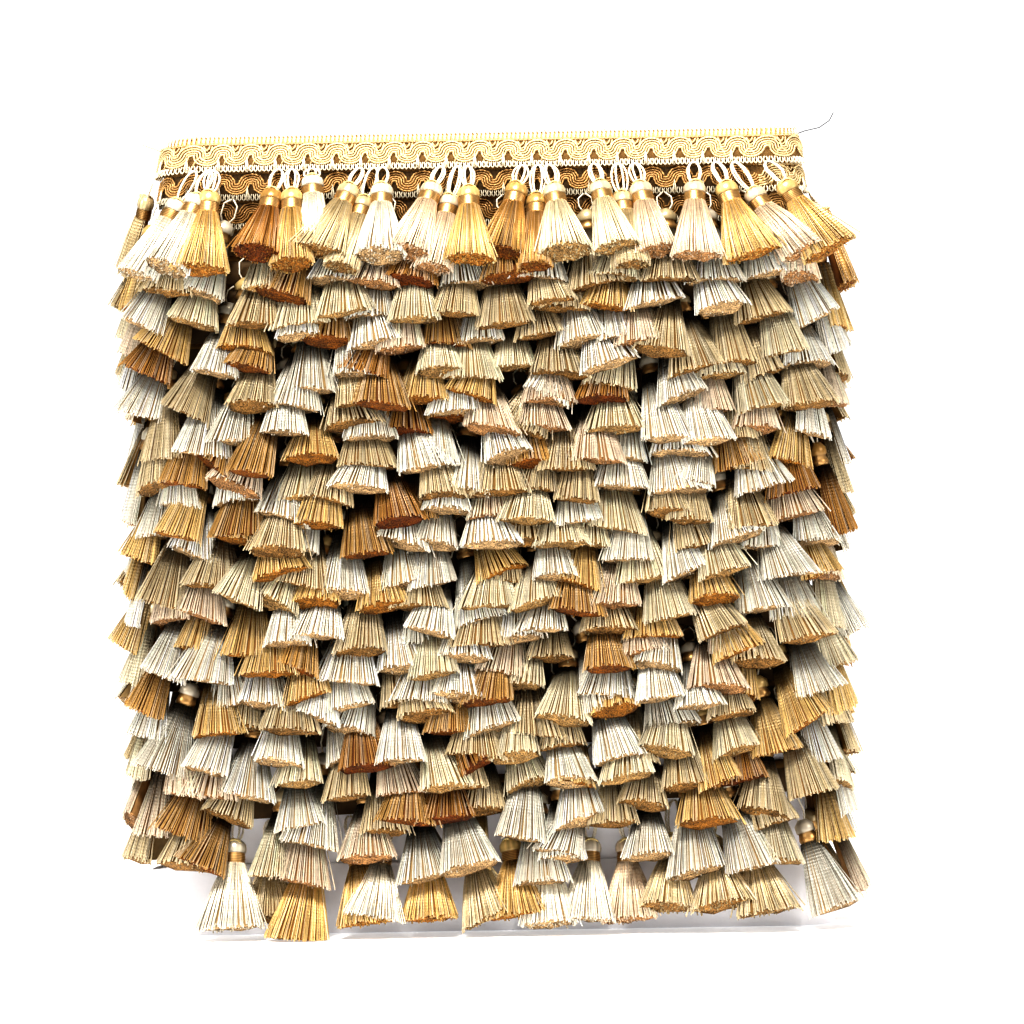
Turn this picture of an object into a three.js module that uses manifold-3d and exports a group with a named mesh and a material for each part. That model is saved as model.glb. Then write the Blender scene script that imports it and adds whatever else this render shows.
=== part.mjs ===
// A tassel fringe trim wound on a flat card. Millimetres, +Z up, the front facing -Y.
// The origin is the middle of the card's foot, so the trim stands on z = 0.
import * as THREE from "three";
import { mergeVertices } from "three/addons/utils/BufferGeometryUtils.js";
import Module from "manifold-3d";

// The card is narrow where the trim is wound on it, and a wider band stands round its foot.
const CARD = { width: 250, thick: 30, height: 314, gap: 0.32 };
const BAND = { width: 272, height: 28, thick: 1 };
const SIDE_RADIUS = CARD.thick / 2;
const SIDE_CENTRE = CARD.width / 2 - SIDE_RADIUS;

// The winding: each turn climbs by PITCH and laps over the turn below. Turns are counted from the
// front right edge of the card, and run right side, back, left side, front. Lengths along the trim
// are measured at the card's surface. The trim starts lower at the front left edge of the foot, and
// makes that up over its first lap.
const PITCH = 11.44;
const FIRST_TURN = 0.568;
const LAST_TURN = 22.037;
const ROWS = 22;
const TOP_EDGE = 316.1;
const START_DROP = 17.5;
const ARC_STEPS = 6;
const LEAST_STEP = 0.2;
const CLIMB_SHARE = { rightSide: 0.15, back: 0.68, leftSide: 0.15, front: 0.02 };

// The heading is a flat braid that leans out at its lower edge.
const HEADING = { height: 15.5, thick: 2.2, lean: 13, cardGap: 0.4 };
const STRIP = { height: 2, gap: 0.32, endGap: 0.4, endClear: 2 };

// The tassels, measured along the tassel from the strip's middle.
const TASSEL = { length: 39.5, spacing: 15.4, rootWidth: 3, rootDepth: 1.6, innerFace: -0.8 };
const NECK = { from: 14.5, width: 7.8, depth: 4.2 };
const HEAD = { top: 5.5, topWidth: 4.2, widest: 8.2, width: 9.4, depth: 6 };
const SKIRT = { width: 22.4, topRowWidth: 13.6, depth: 8.5 };
const FLOOR = 0;

// Below the top row one tassel stands for three, and an odd number to two laps sets every second
// row half a space along.
const LOWER_TO_TWO_LAPS = 23;
const TURNS_UNDER_NEXT = 2;
const LAYER_CLEAR = 1;

// How far the tassels lean out from the card, by turn. At the rounded sides they hang closer.
const LEAN_BY_TURN = [
  { turn: 1, degrees: 12 },
  { turn: 2, degrees: 16 },
  { turn: 3, degrees: 20 },
  { turn: 4, degrees: 22 },
];
const SIDE_LEAN_SHARE = 0.5;
const LEAST_LEAN = 11.5;
const OVER_BAND = { toTurn: 1.3, leastLean: 18 };
const TOP_ROW_MORE_LEAN = 3;
const SIDE_BLEND = 30;

// Below the top row the tassels hang a little askew and end unevenly, taking these in turn.
const UNEVEN = [
  { sideways: -1.4, longer: 1.5 },
  { sideways: 0.9, longer: -1 },
  { sideways: 0.3, longer: 0.5 },
  { sideways: 1.3, longer: 2 },
  { sideways: -0.8, longer: -2 },
];

// The top row fans out across the front, from the left edge to the right one.
const FAN = [
  { x: -110, degrees: -9 },
  { x: -20, degrees: -2 },
  { x: 60, degrees: 5 },
  { x: 110, degrees: 22 },
];

const COLOURS = {
  card: { color: 0xf4f3f6, roughness: 0.75, metalness: 0 },
  heading: { color: 0xe2c88f, roughness: 0.7, metalness: 0 },
  tassels: [0xefe6d2, 0xb9a26c, 0xcf9f3f, 0x8f4f2a, 0xd9b7a0].map((color) => ({
    color,
    roughness: 0.55,
    metalness: 0,
  })),
};

const SHARED_CORNER = 1e-4;
const wasm = await Module();
wasm.setup();

const radians = (degrees) => (degrees * Math.PI) / 180;

// A value read off a table of rows, straight between one row and the next.
function interpolate(table, key, at, value) {
  const next = table.findIndex((row) => row[key] >= at);
  if (next === 0) return table[0][value];
  if (next < 0) return table[table.length - 1][value];
  const [low, high] = [table[next - 1], table[next]];
  const share = (at - low[key]) / (high[key] - low[key]);
  return low[value] + share * (high[value] - low[value]);
}

// One lap round the card at its surface, from the front right edge: four stretches with their
// lengths and the share of the climb that each one takes.
const SIDE_LENGTH = Math.PI * SIDE_RADIUS;
const FLAT_LENGTH = 2 * SIDE_CENTRE;
const STRETCHES = [
  { name: "rightSide", length: SIDE_LENGTH, climb: CLIMB_SHARE.rightSide },
  { name: "back", length: FLAT_LENGTH, climb: CLIMB_SHARE.back },
  { name: "leftSide", length: SIDE_LENGTH, climb: CLIMB_SHARE.leftSide },
  { name: "front", length: FLAT_LENGTH, climb: CLIMB_SHARE.front },
];
const LAP = 2 * (SIDE_LENGTH + FLAT_LENGTH);

// The stretch of the lap that a turn is in, how far along it, and the height of the heading's top.
function placeOnLap(turn) {
  const lap = Math.floor(turn);
  let left = (turn - lap) * LAP;
  let climbed = 0;
  let index = 0;
  while (index < STRETCHES.length - 1 && left > STRETCHES[index].length) {
    left -= STRETCHES[index].length;
    climbed += STRETCHES[index].climb;
    index += 1;
  }
  const { name, length, climb } = STRETCHES[index];
  const share = Math.min(1, left / length);
  const level = TOP_EDGE - PITCH * (ROWS - lap - climbed - share * climb);
  const height = level - START_DROP * Math.max(0, 1 - turn + FIRST_TURN);
  return { stretch: name, share, height };
}

// The point on the card's surface at a turn, with the outward direction and the way the trim runs.
function frameAt(turn) {
  const { stretch, share, height } = placeOnLap(turn);
  const onSide = stretch === "rightSide" || stretch === "leftSide";
  const side = stretch === "rightSide" || stretch === "front" ? 1 : -1;
  const point = new THREE.Vector3();
  const out = new THREE.Vector3();
  if (onSide) {
    const angle = (share - 0.5) * Math.PI + (side > 0 ? 0 : Math.PI);
    out.set(Math.cos(angle), Math.sin(angle), 0);
    point.copy(out).multiplyScalar(SIDE_RADIUS).add(new THREE.Vector3(side * SIDE_CENTRE, 0, 0));
  } else {
    out.set(0, -side, 0);
    point.set(side * SIDE_CENTRE * (2 * share - 1), -side * SIDE_RADIUS, 0);
  }
  point.z = height;
  const along = new THREE.Vector3(-out.y, out.x, 0);
  return { point, out, along };
}

// The turns at which a swept piece needs a section: the ends of each flat and steps round each side.
function sectionTurns(from, to) {
  const turns = [from];
  for (let lap = Math.floor(from); lap <= Math.floor(to); lap++) {
    for (const start of [0, SIDE_LENGTH + FLAT_LENGTH]) {
      for (let step = 0; step <= ARC_STEPS; step++) {
        turns.push(lap + (start + (step / ARC_STEPS) * SIDE_LENGTH) / LAP);
      }
    }
  }
  turns.push(to);
  turns.sort((a, b) => a - b);
  const clear = LEAST_STEP / LAP;
  return turns.filter((turn, i) => {
    if (turn === from || turn === to) return true;
    return turn > from + clear && turn < to - clear && turn - turns[i - 1] > clear;
  });
}

// A closed body through rings of four corners each, the first and the last ring capped.
function bodyThrough(rings) {
  const sides = rings[0].length;
  const positions = rings.flat().flatMap((corner) => corner.toArray());
  const index = [];
  for (let ring = 0; ring + 1 < rings.length; ring++) {
    for (let side = 0; side < sides; side++) {
      const [a, b] = [ring * sides + side, ring * sides + ((side + 1) % sides)];
      index.push(a, b, b + sides, a, b + sides, a + sides);
    }
  }
  const last = (rings.length - 1) * sides;
  for (let side = 1; side + 1 < sides; side++) {
    index.push(0, side + 1, side, last, last + side, last + side + 1);
  }
  const geometry = new THREE.BufferGeometry();
  geometry.setAttribute("position", new THREE.Float32BufferAttribute(positions, 3));
  geometry.setIndex(index);
  return geometry;
}

// The section of the heading between two distances down from its top edge.
function headingSection(turn, from, to) {
  const { point, out } = frameAt(turn);
  const lean = radians(HEADING.lean);
  const down = out.clone().multiplyScalar(Math.sin(lean)).setZ(-Math.cos(lean));
  const face = out.clone().multiplyScalar(Math.cos(lean)).setZ(Math.sin(lean));
  const top = point.addScaledVector(out, HEADING.cardGap);
  const corner = (distance, depth) =>
    top.clone().addScaledVector(down, distance).addScaledVector(face, depth);
  return [corner(from, 0), corner(from, HEADING.thick), corner(to, HEADING.thick), corner(to, 0)];
}

function sweepHeading(fromTurn, toTurn, from, to) {
  const rings = sectionTurns(fromTurn, toTurn).map((turn) => headingSection(turn, from, to));
  return bodyThrough(rings);
}

// How far a tassel leans out at a turn: less in the first turns and at the rounded sides, but
// enough to hang clear of the foot's band.
function leanAt(turn) {
  const { stretch, share } = placeOnLap(turn);
  const full = interpolate(LEAN_BY_TURN, "turn", turn, "degrees");
  const onSide = stretch === "rightSide" || stretch === "leftSide";
  const toSide = Math.min(share, 1 - share) * FLAT_LENGTH;
  const blend = onSide ? 1 : Math.max(0, 1 - toSide / SIDE_BLEND);
  const more = turn > ROWS - 1 ? TOP_ROW_MORE_LEAN : 0;
  const least = turn < OVER_BAND.toTurn ? OVER_BAND.leastLean : LEAST_LEAN;
  return Math.max(least, full * (1 - blend * (1 - SIDE_LEAN_SHARE))) + more;
}

// How deep a skirt may be before it meets the tassel that lies over it.
function depthAt(turn, turnsUnder) {
  const room = turnsUnder * PITCH * Math.tan(radians(leanAt(turn + turnsUnder))) - LAYER_CLEAR;
  return Math.min(SKIRT.depth, room * Math.cos(radians(leanAt(turn))));
}

// The rings of one tassel, each with its distance down the tassel, its width and its depth.
function tasselRings(detailed, skirtWidth, skirtDepth, length) {
  const root = { at: 0, width: TASSEL.rootWidth, depth: TASSEL.rootDepth };
  const neck = { at: NECK.from, width: NECK.width, depth: Math.min(NECK.depth, skirtDepth) };
  const hem = { at: length, width: skirtWidth, depth: skirtDepth };
  if (!detailed) return [root, neck, hem];
  const headTop = { at: HEAD.top, width: HEAD.topWidth, depth: TASSEL.rootDepth };
  const head = { at: HEAD.widest, width: HEAD.width, depth: Math.min(HEAD.depth, skirtDepth) };
  return [root, headTop, head, neck, hem];
}

// One tassel at a turn, hanging from the middle of the strip and leaning sideways by a few degrees.
function tassel(turn, { detailed, skirtWidth, turnsUnder, sideways, longer }) {
  const { point, out, along } = frameAt(turn);
  const headingLean = radians(HEADING.lean);
  const drop = HEADING.height + STRIP.gap + STRIP.height / 2;
  const root = point
    .addScaledVector(out, HEADING.cardGap + drop * Math.sin(headingLean))
    .addScaledVector(out, (HEADING.thick / 2) * Math.cos(headingLean));
  root.z += (HEADING.thick / 2) * Math.sin(headingLean) - drop * Math.cos(headingLean);

  const lean = radians(leanAt(turn));
  const tilt = radians(sideways);
  const straight = out.clone().multiplyScalar(Math.sin(lean)).setZ(-Math.cos(lean));
  const face = out.clone().multiplyScalar(Math.cos(lean)).setZ(Math.sin(lean));
  const axis = straight.clone().multiplyScalar(Math.cos(tilt)).addScaledVector(along, Math.sin(tilt));
  const across = along.clone().multiplyScalar(Math.cos(tilt)).addScaledVector(straight, -Math.sin(tilt));

  const reach = (root.z - FLOOR) / -axis.z;
  const hanging = TASSEL.length + longer;
  const onFloor = reach < hanging + 1;
  const length = onFloor ? reach : hanging;
  const depth = depthAt(turn, turnsUnder);
  const rings = tasselRings(detailed, skirtWidth, depth, length).map((ring) => {
    const centre = root.clone().addScaledVector(axis, ring.at);
    const level = onFloor && ring.at === length;
    const outward = level ? out : face;
    const corner = (side, distance) => {
      const place = centre.clone().addScaledVector(across, (side * ring.width) / 2);
      place.addScaledVector(outward, distance);
      return level ? place.setZ(FLOOR) : place;
    };
    const inner = TASSEL.innerFace;
    const outer = inner + ring.depth;
    return [corner(-1, inner), corner(1, inner), corner(1, outer), corner(-1, outer)];
  });
  return bodyThrough(rings);
}

// A geometry with its corners shared, as a solid that can be joined, and back.
function toSolid(geometry) {
  geometry.deleteAttribute("normal");
  geometry.deleteAttribute("uv");
  const merged = mergeVertices(geometry, SHARED_CORNER);
  return new wasm.Manifold(
    new wasm.Mesh({
      numProp: 3,
      vertProperties: merged.attributes.position.array,
      triVerts: new Uint32Array(merged.index.array),
    }),
  );
}

function fromSolid(solid) {
  const mesh = solid.getMesh();
  const geometry = new THREE.BufferGeometry();
  geometry.setAttribute("position", new THREE.BufferAttribute(mesh.vertProperties, mesh.numProp));
  geometry.setIndex(new THREE.BufferAttribute(mesh.triVerts, 1));
  return geometry;
}

// The places of a row's tassels, counted along the trim: close together on the top row, wide apart
// and staggered below it.
function tasselPlaces(row) {
  const from = Math.max(row - 1, FIRST_TURN) + STRIP.endClear / LAP;
  const to = Math.min(row, LAST_TURN) - STRIP.endClear / LAP;
  const lapsApart = row === ROWS ? TASSEL.spacing / LAP : 2 / LOWER_TO_TWO_LAPS;
  const places = [];
  for (let count = Math.ceil(from / lapsApart); count * lapsApart < to; count++) {
    places.push({ count, turn: count * lapsApart });
  }
  return places;
}

// The top row's tassels are whole and fan out on the front. The lower ones are plain and uneven.
function topTassel({ turn }) {
  const onFront = placeOnLap(turn).stretch === "front";
  const sideways = onFront ? interpolate(FAN, "x", frameAt(turn).point.x, "degrees") : 0;
  return tassel(turn, {
    detailed: true,
    skirtWidth: SKIRT.topRowWidth,
    turnsUnder: TURNS_UNDER_NEXT,
    sideways,
    longer: 0,
  });
}

function lowerTassel({ turn, count }, turnsUnder) {
  const { sideways, longer } = UNEVEN[count % UNEVEN.length];
  return tassel(turn, { detailed: false, skirtWidth: SKIRT.width, turnsUnder, sideways, longer });
}

// One turn's tassels, joined at their roots by a strip of the heading's lower edge.
function tasselRow(row) {
  const from = Math.max(row - 1 + STRIP.endGap / LAP, FIRST_TURN);
  const to = row === ROWS ? LAST_TURN : row - STRIP.endGap / LAP;
  const stripTop = HEADING.height + STRIP.gap;
  const turnsUnder = row === ROWS - 1 ? 1 : TURNS_UNDER_NEXT;
  let solid = toSolid(sweepHeading(from, to, stripTop, stripTop + STRIP.height));
  for (const place of tasselPlaces(row)) {
    const piece = row === ROWS ? topTassel(place) : lowerTassel(place, turnsUnder);
    solid = solid.add(toSolid(piece));
  }
  return fromSolid(solid);
}

// A flat outline with rounded sides, of a width and a thickness.
function cardOutline(width, thick) {
  const radius = thick / 2;
  const centre = width / 2 - radius;
  const outline = new THREE.Shape();
  outline.moveTo(-centre, -radius);
  outline.lineTo(centre, -radius);
  outline.absarc(centre, 0, radius, -Math.PI / 2, Math.PI / 2, false);
  outline.lineTo(-centre, radius);
  outline.absarc(-centre, 0, radius, Math.PI / 2, (3 * Math.PI) / 2, false);
  return outline;
}

function cardCore() {
  const settings = { depth: CARD.height, bevelEnabled: false, curveSegments: ARC_STEPS / 2 };
  return new THREE.ExtrudeGeometry(cardOutline(CARD.width, CARD.thick), settings);
}

function cardBand() {
  const inside = CARD.thick + 2 * CARD.gap;
  const outline = cardOutline(BAND.width, inside + 2 * BAND.thick);
  outline.holes.push(cardOutline(CARD.width + 2 * CARD.gap, inside));
  const settings = { depth: BAND.height, bevelEnabled: false, curveSegments: ARC_STEPS / 2 };
  return new THREE.ExtrudeGeometry(outline, settings);
}

function named(name, geometry, look) {
  const mesh = new THREE.Mesh(geometry, new THREE.MeshStandardMaterial(look));
  mesh.name = name;
  return mesh;
}

const trim = new THREE.Group();
trim.add(named("card_core", cardCore(), COLOURS.card));
trim.add(named("card_band", cardBand(), COLOURS.card));
trim.add(named("gimp_heading", sweepHeading(FIRST_TURN, LAST_TURN, 0, HEADING.height), COLOURS.heading));
for (let row = 1; row <= ROWS; row++) {
  const name = "tassel_row_" + String(row).padStart(2, "0");
  trim.add(named(name, tasselRow(row), COLOURS.tassels[row % COLOURS.tassels.length]));
}

export default trim;
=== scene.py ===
"""A tassel fringe trim wound on a white card: the card, its gimp braid and its tassels."""

import math

import bmesh
import bpy
import numpy as np
from bpy.props import FloatProperty, FloatVectorProperty, IntProperty, PointerProperty
from mathutils import Euler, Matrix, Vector


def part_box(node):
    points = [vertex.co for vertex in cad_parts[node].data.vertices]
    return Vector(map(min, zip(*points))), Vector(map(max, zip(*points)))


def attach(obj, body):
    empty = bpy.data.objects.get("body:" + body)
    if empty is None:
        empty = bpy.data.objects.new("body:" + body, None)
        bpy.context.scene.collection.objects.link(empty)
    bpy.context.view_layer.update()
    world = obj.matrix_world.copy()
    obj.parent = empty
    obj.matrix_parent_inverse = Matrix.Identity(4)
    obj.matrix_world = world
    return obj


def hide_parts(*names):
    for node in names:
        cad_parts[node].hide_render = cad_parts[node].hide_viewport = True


bl_info = {
    "name": "Tassel fringe trim on a card",
    "version": (1, 0, 0),
    "blender": (4, 5, 0),
    "location": "View3D > Sidebar > Trim",
    "description": "Builds a gimp braid with hanging tassels, wound round a card",
    "category": "Object",
}

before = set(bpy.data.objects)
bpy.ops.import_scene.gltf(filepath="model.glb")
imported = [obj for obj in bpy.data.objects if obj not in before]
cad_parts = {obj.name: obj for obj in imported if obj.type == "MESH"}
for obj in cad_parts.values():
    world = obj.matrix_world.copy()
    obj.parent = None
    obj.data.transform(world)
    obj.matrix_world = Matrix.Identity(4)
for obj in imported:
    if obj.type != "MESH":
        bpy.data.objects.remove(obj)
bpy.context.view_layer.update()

# Sizes are in millimetres along the object, and become metres when a mesh is made.
MM = 0.001
UP = np.array([0.0, 0.0, 1.0])

# The card, measured off the frame.
CARD_LOW, CARD_HIGH = (np.array(corner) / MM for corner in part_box("card_core"))
CARD_WIDTH, CARD_THICK = (CARD_HIGH - CARD_LOW)[:2]
SIDE_RADIUS = CARD_THICK / 2
SIDE_CENTRE = CARD_WIDTH / 2 - SIDE_RADIUS

# The band round the card's foot stands clear of it, and its upper edge slopes down at the sides.
BAND_GAP = 0.32
SHOULDER_SLOPE = 0.22
SHARP_EDGE = 1.0
Z_AXIS = Vector((0, 0, 1))

# The winding, in turns counted from the front right edge: right side, back, left side, front.
# The trim starts lower, and makes that up over its first lap.
ROWS = 22
FIRST_TURN = 0.568
LAST_TURN = 22.037
PITCH = 11.44
TOP_EDGE = 316.1
START_DROP = 17.5
SIDE_LENGTH = math.pi * SIDE_RADIUS
FLAT_LENGTH = 2 * SIDE_CENTRE
LAP = 2 * (SIDE_LENGTH + FLAT_LENGTH)
LAP_STOPS = np.cumsum([0, SIDE_LENGTH, FLAT_LENGTH, SIDE_LENGTH, FLAT_LENGTH])
CLIMB_STOPS = np.cumsum([0, 0.15, 0.68, 0.15, 0.02])
ANGLE_STOPS = np.radians([-90, 90, 90, 270, 270])
CENTRE_STOPS = SIDE_CENTRE * np.array([1, 1, -1, -1, 1])

# The tassels spread towards the card's sides, to the front and to the back.
FAN_REACH = 50
FAN_TILT = 15
FAN_STOPS = [
    (0, 1),
    (LAP_STOPS[1] / 2, 0),
    (LAP_STOPS[1], -1),
    (LAP_STOPS[1] + FAN_REACH, 0),
    (LAP_STOPS[2] - FAN_REACH, 0),
    (LAP_STOPS[2], 1),
    ((LAP_STOPS[2] + LAP_STOPS[3]) / 2, 0),
    (LAP_STOPS[3], -1),
    (LAP_STOPS[3] + FAN_REACH, 0),
    (LAP - FAN_REACH, 0),
    (LAP, 1),
]

# The braid's strip, as the frame has it.
HEADING_LEAN = math.radians(13)
HEADING_CLEAR = 0.4
HEADING_THICK = 2.2
ROOT_DROP = 16.8

# How far tassels lean out, by turn, and how much closer they hang at the rounded sides.
LEAN_TURNS = [1, 2, 3, 4]
LEAN_DEGREES = [12, 16, 20, 22]
LEAST_LEAN = 11.5
OVER_BAND_TURN = 1.3
OVER_BAND_LEAN = 18
SIDE_LEAN_SHARE = 0.5
SIDE_BLEND = 30
TOP_ROW_MORE_LEAN = 3

# A tassel, in distances down from its root. The head's rings are each a distance down, half the
# width and a tone, which is painted shade: darker at the top, darkest at the foot by the neck.
HEAD_TOP = 4.6
HEAD = [
    (4.6, 0.8, 0.7),
    (5.0, 2.2, 0.8),
    (5.9, 3.5, 0.95),
    (7.2, 4.3, 1.05),
    (8.7, 4.5, 1.0),
    (9.9, 4.35, 0.85),
]
HEAD_FOOT = (10.35, 4.15, 0.6)
HEAD_GILT = np.array([0.14, 0.10, 0.04])
NECK_TOP = 10.4
NECK_FOOT = 15.0
NECK_HALF_WIDTH = 4.1
NECK_HALF_DEPTH = 3.0
INNER_FACE = -0.8
SKIRT_HALF_DEPTH = 4.6
FLARE = 0.85
CORE_WIDTH = 0.88
CORE_DEPTH = 0.84
LEAST_HEIGHT = 0.5

# The braid's cross section, in distances down from its top edge.
RIBBON = [(0.5, 1.0), (3.6, 1.0), (4.1, 1.0), (13.4, 0.9), (13.4, 0.1), (0.5, 0.1)]
RIBBON_TONES = [3.2, 3.2, 1, 1, 1, 1]
# The lower turns' ground is painted at this share of its colour: painted shade under the tassels.
RIBBON_SHADE = 0.3
SCROLL_MIDDLE = 8.2
SCROLL_SWING = 2.15
SCROLL_BULGE = 0.75
SCROLL_SKEW = 0.4
SCROLL_CORDS = [(-1.95, 0.25), (-1.0, 0), (0, -0.1), (1.0, 0), (1.95, 0.25)]

# Cut ends and the inside of a skirt are painted shade: the yarn's colour, deepened and dimmed.
CUT_DEPTH = 1.6
CUT_SHADE_PAINT = np.array([0.36, 0.27, 0.18])
INSIDE_DEPTH = 1.5
INSIDE_SHADE_PAINT = np.array([0.30, 0.22, 0.12])

# Finishes: how metallic, how glossy and how much of a cut end.
SATIN = (0.25, 1, 0)
BINDING = (0.8, 0.85, 0)
STRAND = (0.3, 0.85, 0)
SCROLL_CORD = (0.2, 0.85, 0)
KNOT_THREAD = (0, 0.8, 0)
STITCH_THREAD = (0, 0.7, 0)
LOOSE_THREAD = (0, 0.5, 0)
GROUND = (0, 0.3, 0)
CUT_THREAD = (0, 0.3, 0.6)
INSIDE = (0, 0.2, 0)
CUT_FACE = (0, 0.1, 1)

# One strand in about thirty strays, and some are mixed with a paler yarn.
STRAY_SHARE = 0.03
PALE_YARN = np.array([1.0, 0.95, 0.84])

# How often each yarn comes along the trim.
YARN_SHARES = {
    "white": 30,
    "champagne": 21,
    "cream": 13,
    "gold": 15,
    "copper": 7,
    "rust": 4,
    "blush": 10,
}

# The lowest turns hang closer together at their hems, and the first tassel is a little way in.
LONGER_HANGERS = {1: (0, 0.5), 2: (5, 12), 3: (1, 6), 4: (0, 3)}
FIRST_SPACE = 9
FIRST_ROW_WIDER = 3

# The lower tassels fan out, less so in the first part of a turn, and tilt no further than this.
START_SPAN = 0.15
START_FAN = 0.3
LOWER_FAN = 0.9
MOST_TILT = 22

# How much less disorder there is at the card's sides.
SIDE_CALM = 0.85

# The tassels across the front of the top turn hang on longer loops. From left to right: place along
# the card, tilt in degrees, yarn, hem width, longer hanger, distance forward, and bend.
TOP_HANGER = 4.0
TOP_FRONT = [
    (-112.6, -24, "white", 17, 2, 0, 0),
    (-107.6, -20, "white", 18, 1, 1.5, 0),
    (-105.8, -5, "gold", 22, -0.4, 2.5, 0),
    (-80.0, -10, "rust", 19, 0.6, 1, 0),
    (-74.6, 1, "gold", 17, 1, 2.5, 0),
    (-66.7, 3, "white", 13, -6.5, 0.5, 0),
    (-48.2, -21, "champagne", 21, -1, 1, 0),
    (-42.5, -15, "champagne", 14, 3, -1, 0),
    (-38.8, -1, "white", 20, -1, 2.5, 0),
    (-16.2, -17, "blush", 18, -1, 1, 0),
    (-9.5, -12, "blush", 14, 3, -1, 0),
    (-5.2, 1, "gold", 19, 1, 2.5, 0),
    (16.1, -12, "copper", 20, -1, 1.5, 0),
    (22.4, -2, "copper", 13, 3, -1, 0),
    (27.0, 7, "cream", 21, 1, 2, 0),
    (44.7, 10, "cream", 19, -1, 0.5, 0),
    (54.1, 5, "champagne", 14, 3, -1, 0),
    (60.8, 9, "blush", 17, 0, 2, 0),
    (83.9, -1, "blush", 20, 0, 1.5, 0),
    (92.9, 16, "gold", 23, 0, 2.5, 0),
    (100.4, 28, "blush", 18, 3, 0, 6),
    (112.6, 26, "gold", 24, 0, 2.5, 0),
]

# The others of that turn are evenly spaced, and stop this far short of the front.
CLEAR_OF_FRONT = 14

# The lamps: name, place, size and power. They are aimed at the middle of the trim.
LAMPS = [
    ("key", (-0.3, -1.5, 2.4), 0.7, 126),
    ("left", (-1.9, -0.9, 1.0), 0.8, 15),
    ("right", (1.9, -0.9, 1.0), 0.8, 15),
    ("back", (0.3, 1.9, 1.6), 1.6, 30),
]
LAMP_AIM = Vector((0, 0, 0.16))
LAMP_COLOUR = (1.0, 0.97, 0.93)

# The camera stands a little to the right, and is turned a little about its own axis.
CAMERA_ASIDE = 0.01
CAMERA_HEIGHT = 0.1656
CAMERA_ROLL = 0.93


def spread_along(turns):
    """The point on the card's surface, the outward and the running direction at some turns."""
    turns = np.asarray(turns, float)
    laps = np.floor(turns)
    along = (turns - laps) * LAP
    angle = np.interp(along, LAP_STOPS, ANGLE_STOPS)
    level = TOP_EDGE - PITCH * (ROWS - laps - np.interp(along, LAP_STOPS, CLIMB_STOPS))
    height = level - START_DROP * np.maximum(0, 1 - turns + FIRST_TURN)
    zero = np.zeros_like(angle)
    out = np.stack([np.cos(angle), np.sin(angle), zero], -1)
    run = np.stack([-np.sin(angle), np.cos(angle), zero], -1)
    centre = np.stack([np.interp(along, LAP_STOPS, CENTRE_STOPS), zero, height], -1)
    return centre + out * SIDE_RADIUS, out, run


def heading_face(turns):
    """The way the braid's outer face looks at some turns."""
    return spread_along(turns)[1] * math.cos(HEADING_LEAN) + UP * math.sin(HEADING_LEAN)


def on_heading(turns, down, proud):
    """Points on the braid: a distance down from its top edge, and proud of its inner face."""
    point, out, _ = spread_along(turns)
    fall = out * math.sin(HEADING_LEAN) - UP * math.cos(HEADING_LEAN)
    down = np.asarray(down, float)[..., None]
    proud = np.asarray(proud, float)[..., None]
    return point + out * HEADING_CLEAR + fall * down + heading_face(turns) * proud


def tassel_lean(turn):
    """How far a tassel leans out from the card at a turn, in degrees."""
    along = (turn - math.floor(turn)) * LAP
    full = np.interp(turn, LEAN_TURNS, LEAN_DEGREES)
    into_back = min(along - LAP_STOPS[1], LAP_STOPS[2] - along)
    into_front = min(along - LAP_STOPS[3], LAP - along)
    blend = 1 - np.clip(max(into_back, into_front) / SIDE_BLEND, 0, 1)
    more = TOP_ROW_MORE_LEAN if turn > ROWS - 1 else 0
    least = OVER_BAND_LEAN if turn < OVER_BAND_TURN else LEAST_LEAN
    return max(least, full * (1 - blend * (1 - SIDE_LEAN_SHARE))) + more


def fan_tilt(turn):
    """How far a tassel tilts sideways to spread with its neighbours, in degrees."""
    along = (turn - math.floor(turn)) * LAP
    stops, shares = zip(*FAN_STOPS)
    return FAN_TILT * float(np.interp(along, stops, shares))


class Pile:
    """Many small shapes gathered into one mesh, with a colour, a finish and a yarn lay at each point.

    The finish is how metallic, how glossy and how much of a cut end a point is. The lay is the
    distance along a thread and the direction round it, as a cosine and a sine."""

    def __init__(self):
        self.points = []
        self.faces = []
        self.attributes = {"Colour": [], "Finish": [], "Lay": []}
        self.count = 0

    def add(self, points, faces, colour, finish, lay=(0.0, 0.0, 0.0)):
        points = np.reshape(points, (-1, 3))
        self.points.append(points)
        self.faces.append(np.reshape(faces, (-1, 3)) + self.count)
        for name, value in (("Colour", colour), ("Finish", finish), ("Lay", lay)):
            self.attributes[name].append(np.broadcast_to(value, points.shape))
        self.count += len(points)

    def piece(self, name, material, slot, nodes):
        """The gathered shapes as one object, which stands for some nodes of the frame."""
        points = np.concatenate(self.points) * MM
        faces = np.concatenate(self.faces)
        mesh = bpy.data.meshes.new(name)
        mesh.vertices.add(len(points))
        mesh.vertices.foreach_set("co", points.ravel())
        mesh.loops.add(faces.size)
        mesh.loops.foreach_set("vertex_index", faces.ravel())
        mesh.polygons.add(len(faces))
        mesh.polygons.foreach_set("loop_start", np.arange(0, faces.size, 3))
        mesh.polygons.foreach_set("use_smooth", np.ones(len(faces), bool))
        for key, values in self.attributes.items():
            held = mesh.attributes.new(key, "FLOAT_VECTOR", "POINT")
            held.data.foreach_set("vector", np.concatenate(values).ravel())
        mesh.update(calc_edges=True)
        mesh.validate()
        mesh.materials.append(material)
        return placed(bpy.data.objects.new(name, mesh), nodes)


def placed(piece, nodes):
    """Link a piece, and tie it to the frame's body and the nodes it stands for."""
    bpy.context.scene.collection.objects.link(piece)
    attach(piece, "root")
    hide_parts(*nodes)
    return piece


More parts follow.
